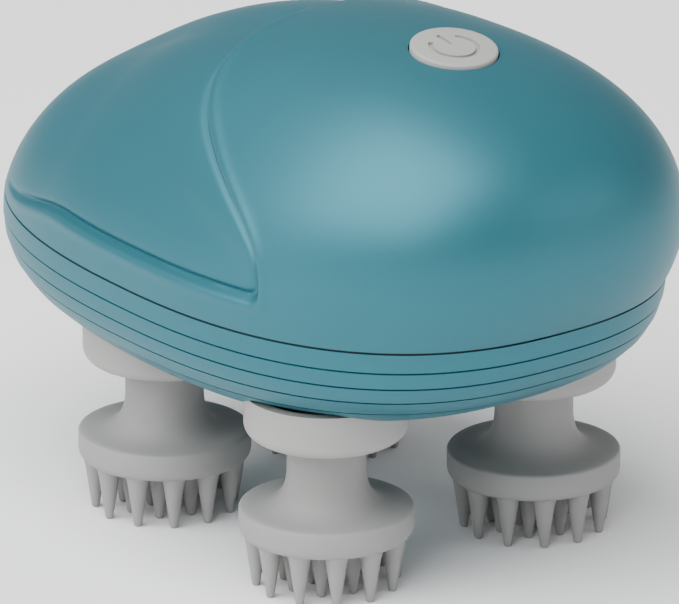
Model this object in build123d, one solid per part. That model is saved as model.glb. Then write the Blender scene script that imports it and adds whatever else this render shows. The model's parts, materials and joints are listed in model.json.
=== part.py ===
from build123d import *
import math
import os

os.makedirs("parts", exist_ok=True)

# Scalp massager: a domed hand body on four drums, each drum turning a silicone head.
# Millimetres. X runs from the back to the front of the body, Y to its left, Z up.
# The origin lies under the middle of the body, on the surface that the pin tips stand on.

# ---- driving dimensions of the body ----
body_half_length = 62.0
body_half_width = 42.7
dome_roundness = 2.4
front_widening = 0.07
dome_height = 37.3
dome_lean = 0.54
widest_above_seam = 3.2
bowl_depth = 22.4
bowl_fullness = 2.75
bowl_roundness = 2.4
bowl_lean = 0.16
seam_height = 47.5
seam_gap = 0.4
seam_centre = -2.4
shell_wall = 2.4
gasket_width = 1.6

# ---- heads, drums and their places ----
front_head_x = 25.4
front_head_y = 21.3
rear_right_head_x = -18.6
rear_right_head_y = -20.4
rear_left_head_x = -25.6
rear_left_head_y = 19.2
pin_length = 8.7
pin_base_radius = 1.95
pin_tip_radius = 0.65
pin_flat_radius = 0.45
pin_tip_rounding = 0.3
disc_radius = 14.1
disc_band = 4.5
disc_chamfer = 0.8
neck_radius = 6.4
neck_height = 11.7
flare_height = 6.2
outer_pin_ring = 11.4
middle_pin_ring = 6.9
inner_pin_ring = 2.5
inner_ring_turn = -15.0
drum_radius = 13.3
drum_edge_radius = 2.4
drum_wall = 1.8
drum_floor = 2.0
drum_hole_clearance = 0.25
neck_gap = 0.4

# ---- head core and output shaft ----
core_disc_radius = 10.5
core_disc_thickness = 2.0
core_disc_cover = 1.2
core_stem_radius = 4.2
shaft_radius = 2.0
shaft_socket_depth = 9.0
running_clearance = 0.05
bush_wall = 2.0
bush_length = 5.6
boss_wall = 1.6
seal_thickness = 1.0
seal_width = 3.0

# ---- gear train ----
gear_module = 0.8
hub_teeth = 28
idler_teeth = 18
head_teeth = 24
gear_width = 3.6
motor_module = 0.5
motor_wheel_teeth = 50
pinion_teeth = 12
motor_wheel_width = 2.0
tooth_tip = 0.7
tooth_root = 1.1
tooth_share = 0.36
train_x = -0.5
train_y = 0.0
axle_radius = 1.5
idler_pin_radius = 1.25
layer_gap = 0.4

# ---- gearbox case and lid ----
case_half_length = 38.5
case_side_room = 13.4
case_half_width = body_half_width - case_side_room
case_shift = 0.9
case_above_seal = 0.9
case_floor = 1.8
case_side_gap = 0.3
lid_thickness = 1.6
post_radius = 2.6
right_post_inset = 3.8
left_post_inset = 3.3
lid_post_places = [
    (32.5, 0.0),
    (-31.5, 0.0),
    (3.0, right_post_inset - case_half_width),
    (6.0, case_half_width - left_post_inset),
]
small_screw_radius = 0.9
small_screw_head_radius = 1.8
small_screw_head_height = 1.2
small_screw_length = 5.0

# ---- case columns and screws ----
column_radius = 3.2
right_column_inset = 9.2
left_column_inset = 8.7
column_places = [
    (46.0, 0.0),
    (3.5, right_column_inset - body_half_width),
    (0.0, body_half_width - left_column_inset),
    (-47.0, -8.0),
]
case_screw_radius = 1.1
case_screw_clearance = 0.2
case_screw_head_radius = 2.1
case_screw_head_height = 1.8
case_screw_bite = 8.0
screw_seat_below_seam = 8.0

# ---- motor, battery and electronics ----
motor_radius = 12.0
motor_length = 23.0
motor_shaft_radius = 1.0
motor_clamp_wall = 1.5
motor_clamp_height = 9.0
battery_radius = 9.2
battery_end_room = 11.7
battery_length = 2 * (body_half_width - battery_end_room)
battery_x = -25.0
tray_wall = 1.8
tray_wrap = 6.5
board_length = 26.0
board_width = 24.0
board_thickness = 1.2
board_screw_inset = 2.6
switch_size = 6.0
switch_height = 3.4
plunger_radius = 1.6
plunger_height = 0.9
button_x = 31.0
button_y = 0.0
button_tilt = 8.5
button_radius = 7.1
button_gap = 0.2
button_thickness = 2.4
button_proud = 0.5
button_edge_radius = 0.5
button_travel = 0.6
button_flange = 0.9
stem_radius = 1.8
board_depth = 12.0
switch_washer_width = 1.2

# ---- charging port ----
port_width = 9.0
port_height = 3.4
port_depth = 7.4
port_wall = 0.4
port_drop = 7.0
port_inset = 3.8
port_boss_wall = 2.6
port_side_gap = 0.3
flap_thickness = 1.4
flap_overlap = 1.4
flap_pin_radius = 0.6

# ---- levels, worked up from the pin tips ----
disc_top = pin_length + disc_band
neck_top = disc_top + neck_height
drum_bottom = neck_top + neck_gap
widest = seam_height + widest_above_seam
base = seam_height - bowl_depth
bush_top = drum_bottom + bush_length
seal_top = bush_top + seal_thickness
case_top = seal_top + case_above_seal
case_bottom = case_top - case_floor
gear_low = case_top + layer_gap
gear_high = gear_low + gear_width
wheel_low = gear_high + layer_gap
wheel_high = wheel_low + motor_wheel_width
lid_low = wheel_high + 2 * layer_gap
lid_high = lid_low + lid_thickness

heads = {
    "front_right": (front_head_x, -front_head_y),
    "front_left": (front_head_x, front_head_y),
    "rear_right": (rear_right_head_x, rear_right_head_y),
    "rear_left": (rear_left_head_x, rear_left_head_y),
}
idler_side = {"front_right": -1, "front_left": 1, "rear_right": -1, "rear_left": -1}


# ---- body sections ----
def oval(half_length, half_width, roundness, centre_x, height):
    """Closed face of a rounded oval, level at one height."""
    points = []
    for step in range(24):
        turn = math.radians(15 * step)
        across = math.copysign(abs(math.cos(turn)) ** (2 / roundness), math.cos(turn))
        along = math.copysign(abs(math.sin(turn)) ** (2 / roundness), math.sin(turn))
        widening = 1 + front_widening * across
        points.append((centre_x + half_length * across, half_width * widening * along, height))
    return make_face(Spline(*points, periodic=True))


def seam_share():
    return math.sqrt(1 - (widest_above_seam / dome_height) ** 2)


seam_half_length = body_half_length * seam_share()
seam_half_width = body_half_width * seam_share()
dome_centre = seam_centre + dome_lean * widest_above_seam


def dome(inset, low):
    """Upper body, leaning forwards as it rises, cut level at its foot."""
    rise = dome_height - inset
    start = math.asin((low - widest) / rise)
    turns = [start, start / 2, 0.0] + [math.radians(a) for a in (16, 32, 47, 60, 71, 80, 86)]
    sections = []
    for turn in turns:
        up = rise * math.sin(turn)
        share = math.cos(turn)
        sections.append(
            oval(
                (body_half_length - inset) * share,
                (body_half_width - inset) * share,
                dome_roundness,
                dome_centre + dome_lean * up,
                widest + up,
            )
        )
    return loft(sections)


def bowl(inset, high):
    """Lower body, a shallow bowl that leans back as it goes down, cut level at its rim."""
    drop = bowl_depth - inset
    sections = []
    for angle in (0, 15, 30, 45, 58, 69, 77):
        turn = math.radians(angle)
        share = math.cos(turn) ** (2 / bowl_fullness)
        down = drop * math.sin(turn) ** (2 / bowl_fullness)
        sections.append(
            oval(
                (seam_half_length - inset) * share,
                (seam_half_width - inset) * share,
                bowl_roundness,
                seam_centre - bowl_lean * down,
                seam_height - down,
            )
        )
    solid = loft(sections)
    above = Pos(0, 0, high) * Box(400, 400, 100, align=(Align.CENTER, Align.CENTER, Align.MIN))
    return solid - above


def cylinder(x, y, low, high, radius):
    return Pos(x, y, low) * Cylinder(radius, high - low, align=(Align.CENTER, Align.CENTER, Align.MIN))


def tube(x, y, low, high, outer, inner):
    return cylinder(x, y, low, high, outer) - cylinder(x, y, low - 1, high + 1, inner)


def write(name, shape):
    shape.label = name
    export_step(shape, f"parts/{name}.step")
    print(name, round(shape.volume))


# ---- button place, square to a plane tilted forwards ----
def dome_height_at(x, y):
    height = widest + dome_height
    for _ in range(80):
        forward = (x - dome_centre - dome_lean * (height - widest)) / body_half_length
        across = abs(forward)
        along = abs(y / body_half_width / (1 + front_widening * forward))
        share = (across**dome_roundness + along**dome_roundness) ** (1 / dome_roundness)
        height = 0.5 * height + 0.5 * (widest + dome_height * math.sqrt(1 - share**2))
    return height


button_z = dome_height_at(button_x, button_y)
button_axis = (math.sin(math.radians(button_tilt)), 0, math.cos(math.radians(button_tilt)))
button_across = (button_axis[2], 0, -button_axis[0])
button_plane = Plane(origin=(button_x, button_y, button_z), x_dir=button_across, z_dir=button_axis)


def on_button(x, y, low, high, radius):
    """Cylinder square to the button's face, heights counted from the dome's skin there."""
    return button_plane * cylinder(x, y, low, high, radius)


def button_box(x_size, y_size, low, high):
    block = Box(x_size, y_size, high - low, align=(Align.CENTER, Align.CENTER, Align.MIN))
    return button_plane * Pos(0, 0, low) * block


board_top = -board_depth
switch_top = board_top + switch_height
plunger_top = switch_top + plunger_height
flange_top = button_proud - button_thickness
flange_radius = button_radius + button_gap + switch_washer_width
board_corners = []
for side_x in (-1, 1):
    for side_y in (-1, 1):
        board_corners.append(
            (
                side_x * (board_length / 2 - board_screw_inset),
                side_y * (board_width / 2 - board_screw_inset),
            )
        )

# ---- top shell ----
top_low = seam_height + seam_gap / 2
top_outer = dome(0, top_low)
top_shell = top_outer - dome(shell_wall, top_low)
for x, y in column_places:
    column = cylinder(x, y, top_low, widest + dome_height, column_radius) & top_outer
    top_shell = top_shell + column
for x, y in board_corners:
    post = on_button(x, y, board_top, 0, small_screw_radius + boss_wall) & top_outer
    top_shell = top_shell + post
for x, y in column_places:
    top_shell -= cylinder(x, y, top_low - 1, top_low + case_screw_bite, case_screw_radius)
for x, y in board_corners:
    screw_end = board_top + small_screw_length - board_thickness
    top_shell -= on_button(x, y, board_top - 1, screw_end, small_screw_radius)
seat_radius = flange_radius + button_gap
seat_top = flange_top
top_shell -= on_button(0, 0, -shell_wall - 4, 4, button_radius + button_gap)
top_shell -= on_button(0, 0, -shell_wall - 4, seat_top, seat_radius)
write("top_shell", top_shell)

# ---- lower shell ----
low_high = seam_height - seam_gap / 2
low_outer = bowl(0, low_high)
lower_shell = low_outer - bowl(shell_wall, low_high + 1)
for x, y in column_places:
    lower_shell = lower_shell + (cylinder(x, y, base, low_high, column_radius) & low_outer)
screw_seat = seam_height - screw_seat_below_seam
for x, y in column_places:
    lower_shell -= cylinder(x, y, base - 1, screw_seat, case_screw_head_radius + case_screw_clearance)
    lower_shell -= cylinder(x, y, base, low_high + 1, case_screw_radius + case_screw_clearance)
head_gear_tip = gear_module * (head_teeth / 2 + tooth_tip)
for x, y in heads.values():
    lower_shell -= cylinder(x, y, base - 1, case_top, drum_radius + drum_hole_clearance)
    lower_shell -= cylinder(x, y, case_top - 1, gear_high + layer_gap, head_gear_tip + layer_gap)

# ---- charging port at the back, in the lower shell ----
port_z = seam_height - port_drop
port_back = seam_centre - seam_half_length


def port_block(x_low, x_high, width, height, z=port_z):
    block = Box(x_high - x_low, width, height, align=(Align.MIN, Align.CENTER, Align.CENTER))
    return Pos(x_low, 0, z) * block


port_face = port_back + port_inset
flap_width = port_width + 2 * flap_overlap
flap_height = port_height + 2 * flap_overlap
flap_low = port_z - flap_height / 2
pin_z = flap_low - flap_pin_radius
pin_x = port_face - flap_thickness / 2 - 0.1
knuckle_radius = flap_pin_radius + 0.6
mouth_width = flap_width + 2 * port_side_gap
boss_height = flap_height + 4 * knuckle_radius + 2 * port_boss_wall
boss_width = mouth_width + 2 * port_boss_wall
boss = port_block(port_back, port_face + port_boss_wall, boss_width, boss_height, port_z - knuckle_radius)
lower_shell += boss & low_outer
lower_shell -= port_block(port_back - 4, port_face, mouth_width, flap_height + 2 * port_side_gap)
lower_shell -= port_block(
    port_face - 1, port_face + 6, port_width + 2 * port_side_gap, port_height + 2 * port_side_gap
)
lower_shell -= port_block(port_back - 6, pin_x + knuckle_radius + port_side_gap, mouth_width, 4.0, pin_z)
pin_length_y = flap_width + 2 * 1.4
lower_shell -= Pos(pin_x, 0, pin_z) * Rot(90, 0, 0) * Cylinder(flap_pin_radius, pin_length_y)
write("lower_shell", lower_shell)

charging_port = port_block(port_face + 0.2, port_face + 0.2 + port_depth, port_width, port_height)
charging_port -= port_block(
    port_face, port_face + port_depth - 1, port_width - 2 * port_wall, port_height - 2 * port_wall
)
charging_port += port_block(
    port_face + 1.2, port_face + port_depth, port_width - 4 * port_wall, port_wall * 2
)
write("charging_port", charging_port)

flap_pin = Pos(pin_x, 0, pin_z) * Rot(90, 0, 0) * Cylinder(flap_pin_radius, pin_length_y)
write("port_cover_pin", flap_pin)
port_cover = port_block(port_face - flap_thickness - 0.1, port_face - 0.1, flap_width, flap_height)
knuckle = Pos(pin_x, 0, pin_z) * Rot(90, 0, 0) * Cylinder(knuckle_radius, flap_width - 1)
port_cover = port_cover + knuckle
pin_bore = Cylinder(flap_pin_radius + running_clearance, flap_width + 1)
port_cover -= Pos(pin_x, 0, pin_z) * Rot(90, 0, 0) * pin_bore
write("port_cover", port_cover)

# ---- seam gasket ----
gasket_inset = 0.3
gasket_face = oval(
    seam_half_length - gasket_inset, seam_half_width - gasket_inset, bowl_roundness, seam_centre, low_high
)
gasket_hole = oval(
    seam_half_length - gasket_inset - gasket_width,
    seam_half_width - gasket_inset - gasket_width,
    bowl_roundness,
    seam_centre,
    low_high,
)
write("shell_gasket", extrude(gasket_face, seam_gap) - extrude(gasket_hole, seam_gap))

# ---- gearbox case: a floor plate and four drums in one moulding ----
gearbox_case = extrude(
    oval(case_half_length, case_half_width, bowl_roundness, seam_centre + case_shift, case_bottom), case_floor
)
gearbox_case &= bowl(shell_wall + case_side_gap, seam_height)
for x, y in heads.values():
    drum = cylinder(x, y, drum_bottom, case_top, drum_radius)
    drum = fillet(drum.edges().sort_by(Axis.Z)[0], drum_edge_radius)
    gearbox_case = gearbox_case + drum
for x, y in heads.values():
    hollow = cylinder(x, y, drum_bottom + drum_floor, case_top, drum_radius - drum_wall)
    gearbox_case = gearbox_case - hollow
    boss = cylinder(x, y, drum_bottom, bush_top, shaft_radius + bush_wall + boss_wall)
    gearbox_case = gearbox_case + boss
for x, y in heads.values():
    gearbox_case -= cylinder(x, y, drum_bottom - 1, bush_top + 1, shaft_radius + bush_wall)
for x, y in lid_post_places:
    gearbox_case += cylinder(x, y, case_bottom, lid_low, post_radius)
for x, y in lid_post_places:
    screw_end = lid_high - small_screw_length
    gearbox_case -= cylinder(x, y, screw_end, lid_low + 1, small_screw_radius)

# ---- gear places ----
hub_radius = gear_module * hub_teeth / 2
idler_radius = gear_module * idler_teeth / 2
head_radius = gear_module * head_teeth / 2
near = hub_radius + idler_radius
far = idler_radius + head_radius


def line_angle(x0, y0, x1, y1):
    return math.atan2(y1 - y0, x1 - x0)


def meshed_turn(teeth_a, turn_a, teeth_b, angle):
    """Turn of gear b whose gap faces a tooth of gear a along the line of centres."""
    share_a = (angle - turn_a) * teeth_a / (2 * math.pi)
    share_b = 0.5 - share_a
    return angle + math.pi - share_b * 2 * math.pi / teeth_b


idlers = {}
head_turns = {}
idler_turns = {}
for name, (x, y) in heads.items():
    reach = math.hypot(x - train_x, y - train_y)
    bend = math.acos((near**2 + reach**2 - far**2) / (2 * near * reach))
    angle = line_angle(train_x, train_y, x, y) + idler_side[name] * bend
    idlers[name] = (train_x + near * math.cos(angle), train_y + near * math.sin(angle))
    idler_turns[name] = meshed_turn(hub_teeth, 0.0, idler_teeth, angle)
    onward = line_angle(*idlers[name], x, y)
    head_turns[name] = meshed_turn(idler_teeth, idler_turns[name], head_teeth, onward)

motor_x = train_x + motor_module * (motor_wheel_teeth + pinion_teeth) / 2
motor_y = train_y
pinion_turn = meshed_turn(motor_wheel_teeth, 0.0, pinion_teeth, 0.0)


def gear(x, y, low, width, module, teeth, turn, bore):
    """Spur gear with straight-sided teeth and free backlash."""
    pitch = module * teeth / 2
    corners = []
    for tooth in range(teeth):
        middle = turn + 2 * math.pi * tooth / teeth
        half = math.pi / teeth * tooth_share
        for radius, offset in (
            (pitch - tooth_root * module, -1.5 * half),
            (pitch + tooth_tip * module, -0.6 * half),
            (pitch + tooth_tip * module, 0.6 * half),
            (pitch - tooth_root * module, 1.5 * half),
        ):
            corners.append((radius * math.cos(middle + offset), radius * math.sin(middle + offset)))
    blank = extrude(make_face(Polyline(*corners, close=True)), width)
    return Pos(x, y, low) * blank - cylinder(x, y, low - 1, low + width + 1, bore)


# ---- drive gear: hub and motor wheel on one axle ----
gearbox_case -= cylinder(train_x, train_y, case_bottom + 0.6, case_top + 1, axle_radius)
for x, y in idlers.values():
    gearbox_case -= cylinder(x, y, case_bottom + 0.6, case_top + 1, idler_pin_radius)
write("gearbox_case", gearbox_case)

axle_bore = axle_radius + running_clearance
drive_gear = gear(train_x, train_y, gear_low, gear_width + layer_gap, gear_module, hub_teeth, 0.0, axle_bore)
drive_gear += gear(
    train_x, train_y, wheel_low, motor_wheel_width, motor_module, motor_wheel_teeth, 0.0, axle_bore
)
write("drive_gear", drive_gear)
write("drive_axle", cylinder(train_x, train_y, case_bottom + 0.6, lid_low + 0.8, axle_radius))

motor_pinion = gear(
    motor_x, motor_y, wheel_low - 0.2, motor_wheel_width + 0.4, motor_module, pinion_teeth, pinion_turn, motor_shaft_radius
)
write("motor_pinion", motor_pinion)

idler_pins = []
idler_bore = idler_pin_radius + running_clearance
for name, (x, y) in idlers.items():
    write(
        f"idler_{name}",
        gear(x, y, gear_low, gear_width, gear_module, idler_teeth, idler_turns[name], idler_bore),
    )
    idler_pins.append(cylinder(x, y, case_bottom + 0.6, lid_low + 0.8, idler_pin_radius))
write("idler_pins", Compound(children=idler_pins))

# ---- gearbox lid ----
lid_outline = oval(case_half_length, case_half_width, bowl_roundness, seam_centre + case_shift, lid_low)
gearbox_lid = extrude(lid_outline, lid_thickness)
gearbox_lid -= cylinder(train_x, train_y, lid_low - 1, lid_low + 0.8, axle_radius)
for x, y in idlers.values():
    gearbox_lid -= cylinder(x, y, lid_low - 1, lid_low + 0.8, idler_pin_radius)
gearbox_lid -= cylinder(motor_x, motor_y, lid_low - 1, lid_high + 1, motor_shaft_radius + 2.2)
for x, y in lid_post_places:
    gearbox_lid -= cylinder(x, y, lid_low - 1, lid_high + 1, small_screw_radius)


def small_screw(under_head):
    """Pan screw at the origin, head up, thread down."""
    screw = cylinder(0, 0, under_head - small_screw_length, under_head, small_screw_radius)
    screw += cylinder(0, 0, under_head, under_head + small_screw_head_height, small_screw_head_radius)
    slot = Pos(0, 0, under_head + small_screw_head_height) * Box(3, 0.5, 0.8)
    slot_across = Pos(0, 0, under_head + small_screw_head_height) * Box(0.5, 3, 0.8)
    return screw - slot - slot_across


lid_screws = []
for x, y in lid_post_places:
    lid_screws.append(Pos(x, y, 0) * small_screw(lid_high))
write("lid_screws", Compound(children=lid_screws))

# ---- motor, its clamp and screws ----
motor_top = lid_high + motor_length
motor = cylinder(motor_x, motor_y, lid_high, motor_top, motor_radius)
motor = fillet(motor.edges().sort_by(Axis.Z)[-1], 1.0)
motor += cylinder(motor_x, motor_y, motor_top - 0.5, motor_top + 1.6, 3.0)
for side in (-1, 1):
    motor += Pos(motor_x, motor_y + side * 7, motor_top + 1.4) * Box(0.6, 2.2, 3.2)
write("motor", motor)
write("motor_shaft", cylinder(motor_x, motor_y, wheel_low - 0.2, lid_high, motor_shaft_radius))

clamp_outer = motor_radius + motor_clamp_wall
motor_clamp = tube(motor_x, motor_y, lid_high, lid_high + motor_clamp_height, clamp_outer, motor_radius)
clamp_screw_places = []
for side in (-1, 1):
    ear_y = motor_y + side * (clamp_outer + 2.0)
    clamp_screw_places.append((motor_x, ear_y))
    ear = cylinder(motor_x, ear_y, lid_high, lid_high + 1.6, 3.2)
    motor_clamp += ear - cylinder(motor_x, motor_y, lid_high - 1, lid_high + 3, motor_radius)
for x, y in clamp_screw_places:
    motor_clamp -= cylinder(x, y, lid_high - 1, lid_high + 3, small_screw_radius)
    gearbox_lid -= cylinder(x, y, lid_low - 1, lid_high + 1, small_screw_radius)
write("motor_clamp", motor_clamp)
clamp_screws = []
for x, y in clamp_screw_places:
    screw = cylinder(x, y, lid_low, lid_high + 1.6, small_screw_radius)
    screw += cylinder(x, y, lid_high + 1.6, lid_high + 1.6 + small_screw_head_height, small_screw_head_radius)
    clamp_screws.append(screw)
write("motor_screws", Compound(children=clamp_screws))
write("gearbox_lid", gearbox_lid)

# ---- battery in its tray ----
battery_z = lid_high + tray_wall + battery_radius
battery = Pos(battery_x, 0, battery_z) * Rot(90, 0, 0) * Cylinder(battery_radius, battery_length)
battery += Pos(battery_x, battery_length / 2, battery_z) * Rot(90, 0, 0) * Cylinder(3.0, 2.4)
tray_radius = battery_radius + tray_wall
battery_tray = Pos(battery_x, 0, battery_z) * Rot(90, 0, 0) * Cylinder(tray_radius, battery_length - 8)
battery_tray += Pos(battery_x, 0, lid_high) * Box(
    2 * tray_radius - 6, battery_length - 14, tray_wrap, align=(Align.CENTER, Align.CENTER, Align.MIN)
)
battery_tray &= Pos(battery_x, 0, lid_high) * Box(
    60, battery_length, tray_wrap, align=(Align.CENTER, Align.CENTER, Align.MIN)
)
battery_tray -= Pos(battery_x, 0, battery_z) * Rot(90, 0, 0) * Cylinder(battery_radius, battery_length + 2)
for x, y in lid_post_places:
    battery_tray -= cylinder(
        x, y, lid_high - 1, lid_high + small_screw_head_height + 0.2, small_screw_head_radius + 0.3
    )
write("battery_tray", battery_tray)
write("battery", battery)

# ---- control board, switch and button ----
board = button_box(board_length, board_width, board_top - board_thickness, board_top)
for x, y in board_corners:
    board -= on_button(x, y, board_top - 3, board_top + 1, small_screw_radius)
write("control_board", board)
switch = button_box(switch_size, switch_size, board_top, switch_top)
switch -= on_button(0, 0, board_top + 1, switch_top + 1, plunger_radius + running_clearance)
write("tact_switch", switch)
plunger_foot = board_top + 1 + button_travel + 0.2
write("switch_plunger", on_button(0, 0, plunger_foot, plunger_top, plunger_radius))
chip = button_plane * Pos(8.5, 0, board_top) * Box(5, 7, 1.0, align=(Align.CENTER, Align.CENTER, Align.MIN))
chip_pad = Box(3, 7.8, 0.5, align=(Align.CENTER, Align.CENTER, Align.MIN))
chip += button_plane * Pos(8.5, 0, board_top) * chip_pad
write("control_chip", chip)

board_screws = []
for x, y in board_corners:
    low = board_top - board_thickness
    screw = on_button(x, y, low, low + small_screw_length, small_screw_radius)
    screw += on_button(x, y, low - small_screw_head_height, low, small_screw_head_radius)
    board_screws.append(screw)
write("board_screws", Compound(children=board_screws))

button = on_button(0, 0, flange_top, button_proud, button_radius)
button = fillet(button.faces().sort_by(Axis.Z)[-1].edges(), button_edge_radius)
button += on_button(0, 0, flange_top - button_flange, flange_top, flange_radius)
button += on_button(0, 0, plunger_top, flange_top, stem_radius)
write("power_button", button)

# ---- heads ----
core_low = pin_length + core_disc_cover
core_high = core_low + core_disc_thickness
flare_top = disc_top + flare_height


def head_blank():
    """Silicone disc and flared neck, turned about its axis."""
    with BuildPart() as blank:
        with BuildSketch(Plane.XZ):
            with BuildLine():
                Polyline(
                    (0, neck_top),
                    (0, pin_length),
                    (disc_radius - disc_chamfer, pin_length),
                    (disc_radius, pin_length + disc_chamfer),
                    (disc_radius, disc_top),
                )
                Spline(
                    (disc_radius, disc_top),
                    (neck_radius + 2.6, disc_top + 1.9),
                    (neck_radius, flare_top),
                    tangents=((-1, 0.12), (0, 1)),
                )
                Polyline((neck_radius, flare_top), (neck_radius, neck_top), (0, neck_top))
            make_face()
        revolve(axis=Axis.Z)
    return blank.part


def massage_pin():
    """Tapered pin, tip down at height zero."""
    with BuildPart() as pin:
        with BuildSketch(Plane.XZ):
            with BuildLine():
                Polyline(
                    (0, 0),
                    (pin_flat_radius, 0),
                    (pin_tip_radius, pin_tip_rounding),
                    (pin_base_radius, pin_length + 0.2),
                    (0, pin_length + 0.2),
                    close=True,
                )
            make_face()
        revolve(axis=Axis.Z)
    return pin.part


pin_places = []
for ring, count, turn in (
    (outer_pin_ring, 12, 0.0),
    (middle_pin_ring, 8, 0.0),
    (inner_pin_ring, 4, inner_ring_turn),
):
    for step in range(count):
        angle = math.radians(turn + 360 * step / count)
        pin_places.append((ring * math.cos(angle), ring * math.sin(angle)))

core = cylinder(0, 0, core_low, core_high, core_disc_radius)
core += cylinder(0, 0, core_high, neck_top, core_stem_radius)
head = head_blank() - core
pin_shape = massage_pin()
head = head.fuse(*[Pos(x, y, 0) * pin_shape for x, y in pin_places])
shaft_low = neck_top - shaft_socket_depth
core -= cylinder(0, 0, shaft_low, neck_top + 1, shaft_radius)
for name, (x, y) in heads.items():
    write(f"head_{name}", Pos(x, y, 0) * head)
    write(f"head_core_{name}", Pos(x, y, 0) * core)
    write(f"output_shaft_{name}", cylinder(x, y, shaft_low, gear_high, shaft_radius))
    write(
        f"output_gear_{name}",
        gear(x, y, gear_low, gear_width, gear_module, head_teeth, head_turns[name], shaft_radius),
    )
    write(
        f"shaft_bush_{name}",
        tube(x, y, drum_bottom, bush_top, shaft_radius + bush_wall, shaft_radius + running_clearance),
    )
    write(
        f"shaft_seal_{name}",
        tube(x, y, bush_top, seal_top, shaft_radius + seal_width, shaft_radius + running_clearance),
    )

# ---- case screws, driven from below ----
case_screws = []
for x, y in column_places:
    screw = cylinder(x, y, screw_seat, top_low + case_screw_bite - 0.5, case_screw_radius)
    screw += cylinder(x, y, screw_seat - case_screw_head_height, screw_seat, case_screw_head_radius)
    case_screws.append(screw)
write("case_screws", Compound(children=case_screws))
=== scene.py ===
import json
import math
import bmesh
import bpy
from mathutils import Matrix, Vector


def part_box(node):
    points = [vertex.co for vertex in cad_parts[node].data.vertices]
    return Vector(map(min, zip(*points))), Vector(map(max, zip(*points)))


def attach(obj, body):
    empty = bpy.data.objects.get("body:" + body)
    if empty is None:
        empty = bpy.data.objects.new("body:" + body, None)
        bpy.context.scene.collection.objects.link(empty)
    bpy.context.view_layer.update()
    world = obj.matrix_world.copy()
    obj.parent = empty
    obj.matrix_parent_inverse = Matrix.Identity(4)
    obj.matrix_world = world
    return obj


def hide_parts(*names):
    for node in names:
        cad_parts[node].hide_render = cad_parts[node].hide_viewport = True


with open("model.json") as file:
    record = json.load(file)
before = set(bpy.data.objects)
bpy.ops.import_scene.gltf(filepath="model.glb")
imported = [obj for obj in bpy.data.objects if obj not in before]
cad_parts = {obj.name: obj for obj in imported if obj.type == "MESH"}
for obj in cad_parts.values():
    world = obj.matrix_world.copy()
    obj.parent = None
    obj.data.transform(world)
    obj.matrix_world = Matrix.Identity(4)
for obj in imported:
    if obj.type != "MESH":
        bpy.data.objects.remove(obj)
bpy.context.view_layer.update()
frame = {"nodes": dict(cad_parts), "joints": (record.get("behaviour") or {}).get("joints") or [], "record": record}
print("frame loaded")

headNames = ["front_right", "front_left", "rear_right", "rear_left"]
jointOf = {joint["name"]: joint for joint in frame["joints"]}


def smooth(value):
    share = min(1.0, max(0.0, value))
    return share * share * (3 - 2 * share)


def swell(distance, width):
    return math.exp(-((distance / width) ** 2))


# one wrapped shader socket, so that sums read as sums
class Sock:
    def __init__(self, tree, socket):
        self.tree = tree
        self.socket = socket

    def maths(self, operation, other, swap=False):
        node = self.tree.nodes.new("ShaderNodeMath")
        node.operation = operation
        first, second = (other, self) if swap else (self, other)
        for index, value in enumerate((first, second)):
            if isinstance(value, Sock):
                self.tree.links.new(value.socket, node.inputs[index])
            else:
                node.inputs[index].default_value = value
        return Sock(self.tree, node.outputs[0])

    def __add__(self, other):
        return self.maths("ADD", other)

    def __radd__(self, other):
        return self.maths("ADD", other, True)

    def __sub__(self, other):
        return self.maths("SUBTRACT", other)

    def __rsub__(self, other):
        return self.maths("SUBTRACT", other, True)

    def __mul__(self, other):
        return self.maths("MULTIPLY", other)

    def __rmul__(self, other):
        return self.maths("MULTIPLY", other, True)


class Paint:
    def __init__(self, name):
        self.material = bpy.data.materials.new(name)
        self.material.use_nodes = True
        self.tree = self.material.node_tree
        self.shader = self.tree.nodes["Principled BSDF"]
        self.place = self.node("ShaderNodeTexCoord", {}, {}, "Object")

    def node(self, kind, settings, values, output=0):
        made = self.tree.nodes.new(kind)
        for key, value in settings.items():
            setattr(made, key, value)
        for key, value in values.items():
            self.join(made.inputs[key], value)
        return Sock(self.tree, made.outputs[output])

    def join(self, entry, value):
        if isinstance(value, Sock):
            self.tree.links.new(value.socket, entry)
        else:
            entry.default_value = value

    def noise(self, scale, detail):
        values = {"Vector": self.place, "Scale": scale, "Detail": detail}
        return self.node("ShaderNodeTexNoise", {}, values)

    def mix(self, factor, first, second):
        # the node repeats its socket names for each data type, so colours go in by number
        return self.node("ShaderNodeMix", {"data_type": "RGBA"}, {0: factor, 6: first, 7: second}, 2)

    def feed(self, name, value):
        self.join(self.shader.inputs[name], value)

    def bump(self, height, distance):
        values = {"Height": height, "Distance": distance, "Strength": 1.0}
        self.feed("Normal", self.node("ShaderNodeBump", {}, values))


def rgb(red, green, blue):
    return (red, green, blue, 1.0)


def finish(name, look):
    paint = Paint(name)
    cloud = paint.noise(look["cloud"], 3.0)
    paint.feed("Base Color", paint.mix(cloud, rgb(*look["dark"]), rgb(*look["light"])))
    paint.feed("Roughness", cloud * look["spread"] + (look["rough"] - look["spread"] / 2))
    paint.feed("Metallic", look.get("metal", 0.0))
    paint.bump(paint.noise(look["grain"], 2.0), look["depth"])
    return paint.material


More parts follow.
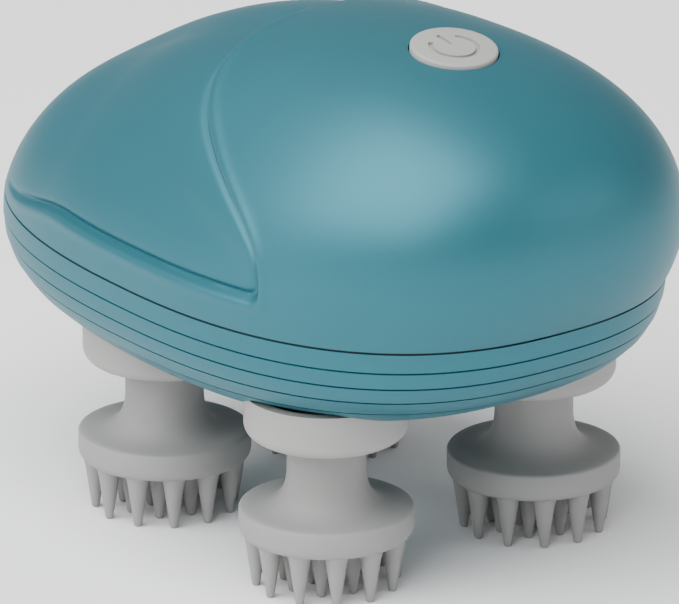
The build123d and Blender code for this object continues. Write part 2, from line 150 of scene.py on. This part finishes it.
# each look: its two shades, cloud and grain scales, roughness with its spread, and bump depth
looks = {
    "teal_shell": ("satinTealPaint", {
        "light": (0.022, 0.146, 0.188), "dark": (0.020, 0.136, 0.175), "cloud": 40,
        "rough": 0.46, "spread": 0.04, "grain": 2600, "depth": 0.000004, "metal": 0.5}),
    "grey_case": ("greyDrumPlastic", {
        "light": (0.34, 0.34, 0.33), "dark": (0.31, 0.31, 0.30), "cloud": 90,
        "rough": 0.55, "spread": 0.08, "grain": 2200, "depth": 0.00001}),
    "grey_silicone": ("greySilicone", {
        "light": (0.30, 0.30, 0.296), "dark": (0.265, 0.265, 0.26), "cloud": 70,
        "rough": 0.62, "spread": 0.08, "grain": 1500, "depth": 0.000012}),
    "dark_rubber": ("darkRubber", {
        "light": (0.012, 0.018, 0.022), "dark": (0.008, 0.012, 0.015), "cloud": 90,
        "rough": 0.7, "spread": 0.1, "grain": 1800, "depth": 0.00001}),
    "white_nylon": ("whiteNylon", {
        "light": (0.78, 0.77, 0.72), "dark": (0.70, 0.69, 0.64), "cloud": 60,
        "rough": 0.5, "spread": 0.1, "grain": 1500, "depth": 0.00001}),
    "black_plastic": ("blackPlastic", {
        "light": (0.03, 0.03, 0.033), "dark": (0.02, 0.02, 0.022), "cloud": 60,
        "rough": 0.5, "spread": 0.1, "grain": 1500, "depth": 0.00001}),
    "steel": ("platedSteel", {
        "light": (0.62, 0.62, 0.63), "dark": (0.5, 0.5, 0.51), "cloud": 300,
        "rough": 0.32, "spread": 0.12, "grain": 3000, "depth": 0.000005, "metal": 1.0}),
    "bearing_bronze": ("sinteredBronze", {
        "light": (0.60, 0.43, 0.22), "dark": (0.42, 0.28, 0.13), "cloud": 500,
        "rough": 0.42, "spread": 0.15, "grain": 3000, "depth": 0.00001, "metal": 1.0}),
    "battery_wrap": ("batteryWrap", {
        "light": (0.06, 0.14, 0.36), "dark": (0.04, 0.10, 0.28), "cloud": 50,
        "rough": 0.3, "spread": 0.06, "grain": 900, "depth": 0.00001}),
    "board_green": ("solderMask", {
        "light": (0.03, 0.20, 0.09), "dark": (0.02, 0.13, 0.06), "cloud": 400,
        "rough": 0.35, "spread": 0.1, "grain": 1200, "depth": 0.00001}),
    "switch_white": ("switchPlastic", {
        "light": (0.80, 0.80, 0.78), "dark": (0.72, 0.72, 0.70), "cloud": 80,
        "rough": 0.4, "spread": 0.08, "grain": 1500, "depth": 0.00001}),
}
paints = {slot: finish(name, look) for slot, (name, look) in looks.items()}
slotOf = {row["node"]: row["material_slot"] for row in frame["record"]["subparts"]}
for nodeName, nodeObject in frame["nodes"].items():
    nodeObject.data.materials.clear()
    nodeObject.data.materials.append(paints[slotOf[nodeName]])
print("finishes made")


softAngle = 35  # faces that meet more sharply than this, in degrees, keep a hard edge


def piece(name, bm, body, slot, stands, angle=softAngle):
    mesh = bpy.data.meshes.new(name)
    bm.to_mesh(mesh)
    bm.free()
    made = bpy.data.objects.new(name, mesh)
    bpy.context.scene.collection.objects.link(made)
    for face in mesh.polygons:
        face.use_smooth = True
    mesh.set_sharp_from_angle(angle=math.radians(angle))
    mesh.materials.append(paints[slot])
    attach(made, body)
    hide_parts(stands)
    return made


def cutWith(made, cutter, operation="DIFFERENCE"):
    modifier = made.modifiers.new("cut", "BOOLEAN")
    modifier.operation = operation
    modifier.solver = "EXACT"
    modifier.object = cutter
    bpy.context.view_layer.update()
    graph = bpy.context.evaluated_depsgraph_get()
    shaped = bpy.data.meshes.new_from_object(made.evaluated_get(graph))
    made.modifiers.clear()
    old = made.data
    made.data = shaped
    bpy.data.meshes.remove(old)
    bpy.data.objects.remove(cutter)
    made.data.set_sharp_from_angle(angle=math.radians(softAngle))


def loose(bm):
    mesh = bpy.data.meshes.new("cutter")
    bm.to_mesh(mesh)
    bm.free()
    made = bpy.data.objects.new("cutter", mesh)
    bpy.context.scene.collection.objects.link(made)
    return made


# the body's own form: an oval dome and bowl that lean forwards as they rise
body = {
    "halfLength": 0.0620,
    "halfWidth": 0.0427,
    "roundness": 2.4,
    "widening": 0.07,
    "domeHeight": 0.0373,
    "domeLean": 0.54,
    "widestAboveSeam": 0.0032,
    "seamHeight": 0.0475,
    "seamGap": 0.0004,
    "seamCentre": -0.0024,
    "bowlDepth": 0.0224,
    "bowlFullness": 2.75,
    "bowlLean": 0.16,
    "wall": 0.0022,
    "cells": 84,
}
widest = body["seamHeight"] + body["widestAboveSeam"]
domeCentre = body["seamCentre"] + body["domeLean"] * body["widestAboveSeam"]
seamShare = math.sqrt(1 - (body["widestAboveSeam"] / body["domeHeight"]) ** 2)


def ovalReach(turn):
    power = body["roundness"]
    return (abs(math.cos(turn)) ** power + abs(math.sin(turn)) ** power) ** (-1 / power)


def ovalPoint(turn, share, halfLength, halfWidth, centre, height):
    reach = ovalReach(turn)
    across = reach * math.cos(turn)
    along = reach * math.sin(turn) * (1 + body["widening"] * across)
    return Vector((centre + halfLength * share * across, halfWidth * share * along, height))


def domePoint(direction):
    share = math.hypot(direction.x, direction.y)
    up = body["domeHeight"] * direction.z
    turn = math.atan2(direction.y, direction.x)
    centre = domeCentre + body["domeLean"] * up
    return ovalPoint(turn, share, body["halfLength"], body["halfWidth"], centre, widest + up)


# the sunken grip on each side: where its edge runs, how deep it is and where it fades out
grip = {
    "cornerHeight": 0.008,
    "edgeRise": 0.030,
    "frontReach": 0.0323,
    "topReach": -0.0027,
    "edgeBend": 1.2,
    "footHeight": 0.0056,
    "stepWidth": 0.0010,
    "grooveDepth": 0.0005,
    "lipHeight": 0.00025,
    "stepDepth": 0.0012,
    "scoopDepth": 0.0010,
    "scoopWidth": 0.016,
    "scoopTop": 0.036,
    "scoopFade": 0.014,
    "grooveInside": 0.0010,
    "grooveWidth": 0.0006,
    "lipOutside": 0.0006,
    "lipWidth": 0.0008,
    "footDrop": 0.0036,
    "footDropStart": -0.020,
    "footDropLength": 0.025,
    "cornerBlend": 0.0022,
    "middleGap": 0.001,
    "middleFade": 0.012,
    "backEnd": -0.050,
    "backFade": 0.022,
    "slopeStep": 0.0005,
    "fineBands": (0.0022, 0.0013),
    "fineFromMiddle": 0.0005,
    "rimSnap": 0.0004,
}


def gripEdge(above):
    share = min(1.0, max(0.0, (above - grip["cornerHeight"]) / grip["edgeRise"]))
    swing = (1 + math.cos(math.pi * share ** grip["edgeBend"])) / 2
    return grip["topReach"] + (grip["frontReach"] - grip["topReach"]) * swing


def gripInside(point):
    above = point.z - body["seamHeight"]
    nudge = grip["slopeStep"]
    slope = (gripEdge(above + nudge) - gripEdge(above - nudge)) / (2 * nudge)
    behind = (gripEdge(above) - point.x) / math.sqrt(1 + slope * slope)
    drop = smooth((grip["footDropStart"] - point.x) / grip["footDropLength"])
    foot = grip["footHeight"] - grip["footDrop"] * drop
    over = above - foot
    blend = grip["cornerBlend"]
    gap = max(blend - abs(behind - over), 0) / blend
    return min(behind, over) - gap * gap * blend / 4


def gripDepth(point):
    above = point.z - body["seamHeight"]
    inside = gripInside(point)
    sideways = smooth((abs(point.y) - grip["middleGap"]) / grip["middleFade"])
    fade = sideways * smooth((point.x - grip["backEnd"]) / grip["backFade"])
    step = grip["stepDepth"] * smooth(inside / grip["stepWidth"])
    scoop = grip["scoopDepth"] * smooth(inside / grip["scoopWidth"])
    scoop = scoop * smooth((grip["scoopTop"] - above) / grip["scoopFade"])
    groove = grip["grooveDepth"] * swell(inside - grip["grooveInside"], grip["grooveWidth"])
    lip = grip["lipHeight"] * swell(inside + grip["lipOutside"], grip["lipWidth"])
    return fade * (step + scoop + groove - lip)


def outward(direction):
    along = Vector((
        direction.x / body["halfLength"],
        direction.y / body["halfWidth"],
        direction.z / body["domeHeight"] - body["domeLean"] * direction.x / body["halfLength"],
    ))
    return along.normalized()


def quadBall(cells):
    bm = bmesh.new()
    bmesh.ops.create_cube(bm, size=2)
    bmesh.ops.subdivide_edges(bm, edges=bm.edges[:], cuts=cells - 1, use_grid_fill=True)
    for vertex in bm.verts:
        vertex.co = Vector([math.tan(value * math.pi / 4) for value in vertex.co]).normalized()
    return bm


def refine(bm, width):
    edges = set()
    for face in bm.faces:
        point = domePoint(face.calc_center_median().normalized())
        near = abs(gripInside(point) - grip["stepWidth"] / 2) < width
        if near and abs(point.y) > grip["fineFromMiddle"]:
            edges.update(face.edges)
    bmesh.ops.subdivide_edges(bm, edges=list(edges), cuts=1, use_grid_fill=True)
    for vertex in bm.verts:
        vertex.co.normalize()


topBall = quadBall(body["cells"])
topFoot = -(body["widestAboveSeam"] - body["seamGap"] / 2) / body["domeHeight"]
geometry = topBall.verts[:] + topBall.edges[:] + topBall.faces[:]
bmesh.ops.bisect_plane(
    topBall, geom=geometry, plane_co=(0, 0, topFoot), plane_no=(0, 0, 1), clear_inner=True
)
for width in grip["fineBands"]:
    refine(topBall, width)
for vertex in topBall.verts:
    if abs(vertex.co.z - topFoot) < grip["rimSnap"]:
        vertex.co.z = topFoot
for vertex in topBall.verts:
    direction = vertex.co.copy()
    point = domePoint(direction)
    vertex.co = point - outward(direction) * gripDepth(point)
bmesh.ops.recalc_face_normals(topBall, faces=topBall.faces[:])
bmesh.ops.solidify(topBall, geom=topBall.faces[:], thickness=body["wall"])
bmesh.ops.recalc_face_normals(topBall, faces=topBall.faces[:])
topShell = piece("topShellSkin", topBall, "housing", "teal_shell", "top_shell")
print("top shell", len(topShell.data.polygons))

# the power button: a round cap on a stem, with a broken ring and a short bar cut into its face
button = {
    "radius": 0.0071,
    "gap": 0.00022,
    "thickness": 0.0024,
    "edge": 0.0004,
    "stemRadius": 0.0018,
    "stemEnd": 0.0072,
    "holeAbove": 0.004,
    "holeBelow": 0.012,
    "markRadius": 0.0038,
    "markWidth": 0.00075,
    "markDepth": 0.00045,
    "markOpening": 80,
    "barLength": 0.0036,
    "barPlace": 0.0026,
    "sides": 96,
}
pressAxis = -Vector(jointOf["power_button_press"]["axis"])
# the face's middle, from the node's own topmost ring
buttonTop = Vector((0, 0, 0))
ring = [v.co for v in frame["nodes"]["power_button"].data.vertices]
highest = max(co.dot(pressAxis) for co in ring)
levelWithin = 0.00001
faceRing = [co for co in ring if co.dot(pressAxis) > highest - levelWithin]
for co in faceRing:
    buttonTop = buttonTop + co / len(faceRing)
turnUp = Vector((0, 0, 1)).rotation_difference(pressAxis).to_matrix().to_4x4()
buttonPlace = Matrix.Translation(buttonTop) @ turnUp


mergeWithin = 0.0000005


def turned(profile, steps, matrix):
    bm = bmesh.new()
    points = [bm.verts.new((radius, 0, height)) for radius, height in profile]
    edges = [bm.edges.new(pair) for pair in zip(points, points[1:])]
    bmesh.ops.spin(
        bm, geom=points + edges, cent=(0, 0, 0), axis=(0, 0, 1), angle=math.tau, steps=steps, use_merge=True
    )
    bmesh.ops.remove_doubles(bm, verts=bm.verts[:], dist=mergeWithin)
    bmesh.ops.recalc_face_normals(bm, faces=bm.faces[:])
    bmesh.ops.transform(bm, matrix=matrix, verts=bm.verts[:])
    return bm


holeRadius = button["radius"] + button["gap"]
above, below = button["holeAbove"], -button["holeBelow"]
holeProfile = [(0, above), (holeRadius, above), (holeRadius, below), (0, below)]
cutWith(topShell, loose(turned(holeProfile, button["sides"], buttonPlace)))

edge, back, stem = button["edge"], -button["thickness"], button["stemRadius"]
capProfile = [(0, 0)]
for angle in (0.0, 0.5, 1.05, 1.57):  # a quarter round
    capProfile.append((button["radius"] - edge * (1 - math.sin(angle)), -edge * (1 - math.cos(angle))))
capProfile += [(button["radius"], back), (stem, back), (stem, -button["stemEnd"]), (0, -button["stemEnd"])]
cap = turned(capProfile, button["sides"], buttonPlace)
buttonCap = piece("powerButtonCap", cap, "button", "grey_case", "power_button")


def arcGroove(radius, width, depth, opening):
    bm = bmesh.new()
    low, high = radius - width / 2, radius + width / 2
    above = 0.001
    section = ((low, above), (high, above), (high, -depth), (low, -depth))
    face = bm.faces.new([bm.verts.new((reach, 0, height)) for reach, height in section])
    start = Matrix.Rotation(math.radians(90 + opening / 2), 4, "Z")
    bmesh.ops.transform(bm, matrix=start, verts=bm.verts[:])
    sweep = math.radians(360 - opening)
    bmesh.ops.spin(bm, geom=[face], cent=(0, 0, 0), axis=(0, 0, 1), angle=sweep, steps=48)
    bmesh.ops.recalc_face_normals(bm, faces=bm.faces[:])
    return bm


faceUp = Matrix.Rotation(math.radians(90), 4, "Z")
markArc = arcGroove(button["markRadius"], button["markWidth"], button["markDepth"], button["markOpening"])
bmesh.ops.transform(markArc, matrix=buttonPlace @ faceUp, verts=markArc.verts[:])
cutWith(buttonCap, loose(markArc))
markBar = bmesh.new()
bmesh.ops.create_cube(markBar, size=1)
barShape = Matrix.Diagonal((button["markWidth"], button["barLength"], 2 * button["markDepth"], 1))
barPlace = buttonPlace @ faceUp @ Matrix.Translation((0, button["barPlace"], 0)) @ barShape
bmesh.ops.transform(markBar, matrix=barPlace, verts=markBar.verts[:])
cutWith(buttonCap, loose(markBar))
print("power button")

# the lower shell: a bowl with fine grooves round it, each band a little further in
ribs = {
    "cut": 0.00040,
    "count": 4,
    "pitch": 0.0031,
    "first": 0.0034,
    "depth": 0.00013,
    "groove": 0.00024,
    "turns": 256,
    "rings": 16,
    "outerReach": 0.996,
    "innerReach": 0.99,
}


def bowlPoint(turn, down, inset):
    power = body["bowlFullness"]
    share = (1 - min(1.0, down / (body["bowlDepth"] - inset)) ** power) ** (1 / power)
    halfLength = body["halfLength"] * seamShare - inset
    halfWidth = body["halfWidth"] * seamShare - inset
    centre = body["seamCentre"] - body["bowlLean"] * down
    return ovalPoint(turn, share, halfLength, halfWidth, centre, body["seamHeight"] - down)


levels = []
start = body["seamGap"] / 2
for index in range(ribs["count"] + 1):
    stop = ribs["first"] + ribs["pitch"] * index
    inset = ribs["depth"] * index
    for step in range(4):
        levels.append((start + (stop - start) * step / 3.0, inset))
    if index < ribs["count"]:
        levels.append((stop + ribs["groove"] * 0.3, inset + ribs["cut"]))
        levels.append((stop + ribs["groove"], inset + ribs["cut"]))
    start = stop + 1.6 * ribs["groove"]
foot, lastInset = levels[-1]
bottom = (body["bowlDepth"] - lastInset) * ribs["outerReach"]
innerDepth = (body["bowlDepth"] - body["wall"]) * ribs["innerReach"] - body["seamGap"] / 2
innerLevels = []
for step in range(ribs["rings"] + 1):
    reach = math.sin(math.pi / 2 * step / ribs["rings"])
    if step:
        levels.append((foot + (bottom - foot) * reach, lastInset))
    innerLevels.append((body["seamGap"] / 2 + innerDepth * reach, body["wall"]))


def bowlSkin(rings):
    bm = bmesh.new()
    turnLayer = bm.verts.layers.float.new("turn")
    bmesh.ops.create_circle(bm, cap_ends=True, segments=ribs["turns"], radius=1)
    for vertex in bm.verts:
        vertex[turnLayer] = math.atan2(vertex.co.y, vertex.co.x)
        vertex.co = bowlPoint(vertex[turnLayer], *rings[0])
    edges = bm.edges[:]
    for ring in rings[1:]:
        made = bmesh.ops.extrude_edge_only(bm, edges=edges)["geom"]
        verts = [item for item in made if isinstance(item, bmesh.types.BMVert)]
        kept = set(verts)
        edges = [item for item in made if isinstance(item, bmesh.types.BMEdge)]
        edges = [edge for edge in edges if kept.issuperset(edge.verts)]
        for vertex in verts:
            vertex.co = bowlPoint(vertex[turnLayer], *ring)
    bmesh.ops.contextual_create(bm, geom=edges)
    bmesh.ops.recalc_face_normals(bm, faces=bm.faces[:])
    return bm


bowlMesh = bowlSkin(levels[::-1] + innerLevels)
lowerShell = piece("lowerShellSkin", bowlMesh, "housing", "teal_shell", "lower_shell", 30)


def rod(radius, lowest, highest, place, steps=48):
    return loose(turned([(0, lowest), (radius, lowest), (radius, highest), (0, highest)], steps, place))


def block(low, high):
    bm = bmesh.new()
    bmesh.ops.create_cube(bm, size=1)
    shape = Matrix.Diagonal((high.x - low.x, high.y - low.y, high.z - low.z, 1))
    bmesh.ops.transform(bm, matrix=Matrix.Translation((low + high) / 2) @ shape, verts=bm.verts[:])
    return loose(bm)


# joins a column or a boss to the shell, trimmed to stay behind its outer face
def addInside(extra):
    trim = [(down, inset + fitting["behind"]) for down, inset in levels]
    cutWith(extra, loose(bowlSkin(trim[::-1])), "INTERSECT")
    cutWith(lowerShell, extra, "UNION")


# the screw columns, the charging pocket and the drum holes
fitting = {
    "behind": 0.0006,
    "columnRadius": 0.0032,
    "screwHole": 0.0023,
    "screwSeat": 0.0395,
    "belowShell": 0.018,
    "drumHole": 0.01355,
    "drumHoleTop": 0.0335,
    "bossWall": 0.0022,
    "pocketGap": 0.0003,
    "pastFace": 0.01,
    "pastSeat": 0.001,
    "screwSpread": 0.008,
}
screwMesh = frame["nodes"]["case_screws"].data.vertices
screwSpots = []
for vertex in screwMesh:
    spot = Vector((vertex.co.x, vertex.co.y, 0))
    near = [group for group in screwSpots if (group[0] - spot).length < fitting["screwSpread"]]
    home = near[0] if near else None
    if home is None:
        screwSpots.append([spot])
    else:
        home.append(spot)
for group in screwSpots:
    lows = [min(spot[axis] for spot in group) for axis in range(3)]
    highs = [max(spot[axis] for spot in group) for axis in range(3)]
    place = Matrix.Translation([(low + high) / 2 for low, high in zip(lows, highs)])
    addInside(rod(fitting["columnRadius"], fitting["belowShell"], fitting["screwSeat"], place))
    holeTop = fitting["screwSeat"] + fitting["pastSeat"]
    cutWith(lowerShell, rod(fitting["screwHole"], fitting["belowShell"], holeTop, place))
flapLow, flapHigh = (Vector(corner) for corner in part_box("port_cover"))
portLow, portHigh = (Vector(corner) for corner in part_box("charging_port"))
gap = Vector([fitting["pocketGap"]] * 3)
rim = Vector([fitting["bossWall"]] * 3)
addInside(block(Vector((flapLow.x, portLow.y, portLow.z)) - rim, portHigh + Vector((0, rim.y, rim.z))))
outwards = Vector((fitting["pastFace"], 0, 0))
portMouth = Vector((flapLow.x, portLow.y, portLow.z)) - outwards
cutWith(lowerShell, block(portMouth, portHigh + Vector((fitting["pastSeat"], 0, 0))))
cutWith(lowerShell, block(flapLow - gap - outwards, flapHigh + gap))
for headName in headNames:
    low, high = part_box("head_" + headName)
    place = Matrix.Translation(((low.x + high.x) / 2, (low.y + high.y) / 2, 0))
    cutWith(lowerShell, rod(fitting["drumHole"], fitting["belowShell"], fitting["drumHoleTop"], place, 96))
print("lower shell", len(lowerShell.data.polygons))

# the silicone heads: a spun disc, flare and neck, with rings of tapered pins
head = {
    "disc": 0.0141,
    "neck": 0.0064,
    "flareInset": 0.0004,
    "flareReach": 0.0073,
    "flareFoot": 0.0133,
    "flareHeight": 0.0064,
    "flareSteps": 14,
    "sides": 96,
    "pinSides": 16,
    "pins": ((0.0114, 12, 0.0), (0.0069, 8, 0.0), (0.0025, 4, -15.0)),  # ring radius, count, first turn
}
flare = []
for step in range(head["flareSteps"] + 1):
    angle = math.pi / 2 * step / head["flareSteps"]
    radius = head["disc"] - head["flareInset"] - head["flareReach"] * math.sin(angle) ** 0.8
    flare.append((radius, head["flareFoot"] + head["flareHeight"] * (1 - math.cos(angle)) ** 1.35))
# radius and height of each corner, from the disc's underside up
headProfile = [(0, 0.0087), (0.0131, 0.0087), (0.0136, 0.0089), (0.01395, 0.0094)]
headProfile += [(head["disc"], 0.0100), (head["disc"], 0.0129), (0.01395, 0.01315)] + flare
headProfile += [(head["neck"], 0.0212), (head["neck"], 0.02465), (head["neck"] - 0.00025, 0.0249), (0, 0.0249)]
# a pin: rounded tip, taper, and a small fillet that runs into the disc
pinProfile = [(0, 0.0), (0.00042, 0.00002), (0.00060, 0.00018), (0.00068, 0.00045)]
pinProfile += [(0.0009, 0.0019), (0.0013, 0.0045), (0.00168, 0.0072)]
pinProfile += [(0.00195, 0.0084), (0.0023, 0.0089), (0, 0.0092)]
for headName in headNames:
    low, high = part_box("head_" + headName)
    middle = Matrix.Translation(((low.x + high.x) / 2, (low.y + high.y) / 2, 0))
    whole = turned(headProfile, head["sides"], middle)
    for reach, count, first in head["pins"]:
        for index in range(count):
            angle = math.radians(first + 360 * index / count)
            spot = middle @ Matrix.Translation((reach * math.cos(angle), reach * math.sin(angle), 0))
            pin = turned(pinProfile, head["pinSides"], spot)
            pinMesh = bpy.data.meshes.new("pin")
            pin.to_mesh(pinMesh)
            pin.free()
            whole.from_mesh(pinMesh)
            bpy.data.meshes.remove(pinMesh)
    piece("headSkin_" + headName, whole, "head_" + headName, "grey_silicone", "head_" + headName, 40)
print("heads")

# floor, light and camera; each light has its turn from the camera, rise, distance, size and power
studio = {
    "floor": 6.0,
    "world": 0.45,
    "lights": {
        "keySoftbox": (-44, 60, 1.6, 2.0, 70.0),
        "fillSoftbox": (-75, 18, 1.8, 1.2, 4.0),
        "rightSoftbox": (75, 22, 1.8, 0.8, 4.0),
    },
    "lightAim": 0.05,
    "azimuth": 52.0,
    "elevation": 20.0,
    "distance": 2.0,
    "target": (0.00152, 0.0, 0.03607),
    "width": 0.110,
    "farthest": 50,
}
floorMesh = bmesh.new()
bmesh.ops.create_grid(floorMesh, x_segments=1, y_segments=1, size=studio["floor"])
floorData = bpy.data.meshes.new("floor")
floorMesh.to_mesh(floorData)
floorMesh.free()
floor = bpy.data.objects.new("floor", floorData)
bpy.context.scene.collection.objects.link(floor)
floorPaint = finish("paleFloor", {
    "light": (0.93, 0.93, 0.93), "dark": (0.92, 0.92, 0.92), "cloud": 3,
    "rough": 0.8, "spread": 0.05, "grain": 40, "depth": 0.00001})
floor.data.materials.append(floorPaint)

world = bpy.data.worlds.new("studio")
bpy.context.scene.world = world
world.use_nodes = True
background = world.node_tree.nodes["Background"]
background.inputs["Color"].default_value = (1, 1, 1, 1)
background.inputs["Strength"].default_value = studio["world"]


def softLight(name, place, size, power):
    data = bpy.data.lights.new(name, "AREA")
    data.size = size
    data.energy = power
    made = bpy.data.objects.new(name, data)
    made.location = place
    toward = Vector((0, 0, studio["lightAim"])) - Vector(place)
    made.rotation_euler = toward.to_track_quat("-Z", "Y").to_euler()
    bpy.context.scene.collection.objects.link(made)


azimuth = math.radians(studio["azimuth"])


def around(turn, rise, distance):
    angle = azimuth + math.radians(turn)
    tall = math.radians(rise)
    level = distance * math.cos(tall)
    return (level * math.sin(angle), -level * math.cos(angle), distance * math.sin(tall))


for name, (turn, rise, distance, size, power) in studio["lights"].items():
    softLight(name, around(turn, rise, distance), size, power)

cameraData = bpy.data.cameras.new("camera")
cameraData.lens = cameraData.sensor_width * studio["distance"] / studio["width"]
camera = bpy.data.objects.new("camera", cameraData)
bpy.context.scene.collection.objects.link(camera)
target = Vector(studio["target"])
camera.location = target + Vector(around(0, studio["elevation"], studio["distance"]))
camera.rotation_euler = (target - camera.location).to_track_quat("-Z", "Y").to_euler()
cameraData.clip_end = studio["farthest"]
bpy.context.scene.camera = camera
print("studio")
